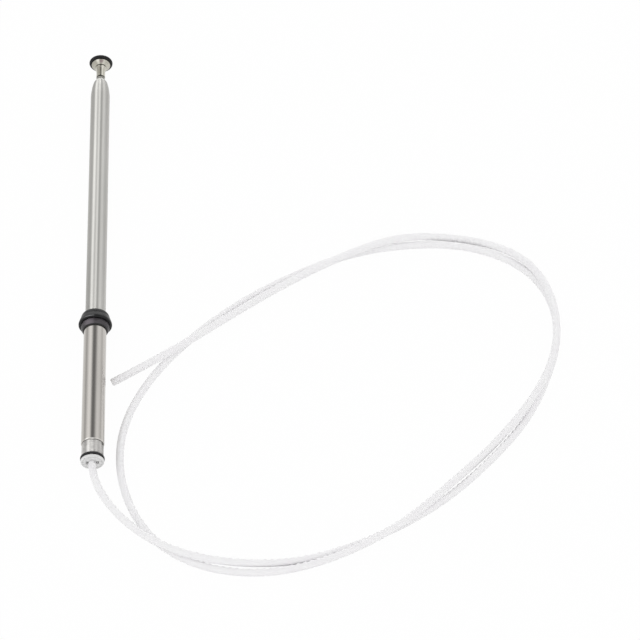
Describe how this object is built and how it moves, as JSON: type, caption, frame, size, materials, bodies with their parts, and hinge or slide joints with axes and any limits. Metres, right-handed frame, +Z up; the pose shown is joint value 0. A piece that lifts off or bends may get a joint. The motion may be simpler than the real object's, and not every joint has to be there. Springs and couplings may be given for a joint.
{
  "type": "telescopic antenna mast with drive cord",
  "caption": "Collapsed telescopic antenna mast with a black button, a sliding sleeve under a black collar, and a toothed white drive cord lying loose beside it.",
  "frame": {"origin": "on the surface the mast lies on, under the middle of its collapsed length", "axes": "+Y along the mast towards the button, +Z up, the cord lies on the +X side"},
  "size_m": [0.2376, 0.3227, 0.0165],
  "materials": {
    "satin_nickel": "satin nickel plate, drawn lengthwise",
    "bright_nickel": "bright nickel plate",
    "polished_steel": "polished",
    "foot_brass": "turned",
    "spring_bronze": "rolled sheet",
    "black_plastic": "moulded, semi-matte",
    "black_rubber": "moulded",
    "pale_nylon": "moulded",
    "cord_nylon": "extruded, with rack teeth"
  },
  "bodies": {
    "outer": {"outer_tube": "satin_nickel", "ferrule": "bright_nickel", "gasket_ring": "black_rubber", "end_bush": "pale_nylon", "drive_cord": "cord_nylon"},
    "sleeve": {"sleeve_tube": "bright_nickel", "collar": "black_plastic", "collar_seal": "black_rubber", "wiper_ring": "black_rubber", "sleeve_contact": "spring_bronze"},
    "middle": {"middle_tube": "polished_steel", "middle_foot": "foot_brass", "middle_contact": "spring_bronze"},
    "inner": {"inner_tube": "polished_steel", "inner_foot": "foot_brass", "inner_contact": "spring_bronze"},
    "tip": {"tip_rod": "polished_steel", "rod_foot": "foot_brass", "rod_contact": "spring_bronze", "cord_anchor": "foot_brass", "cap_stem": "bright_nickel", "cap": "black_plastic"}
  },
  "joints": [
    {"name": "sleeve_slide", "type": "slide", "parent": "outer", "child": "sleeve", "axis": [0, 1, 0], "range_m": [0, 0.147]},
    {"name": "middle_slide", "type": "slide", "parent": "outer", "child": "middle", "axis": [0, 1, 0], "range_m": [0, 0.208]},
    {"name": "inner_slide", "type": "slide", "parent": "middle", "child": "inner", "axis": [0, 1, 0], "range_m": [0, 0.216]},
    {"name": "rod_slide", "type": "slide", "parent": "inner", "child": "tip", "axis": [0, 1, 0], "range_m": [0, 0.209]}
  ]
}
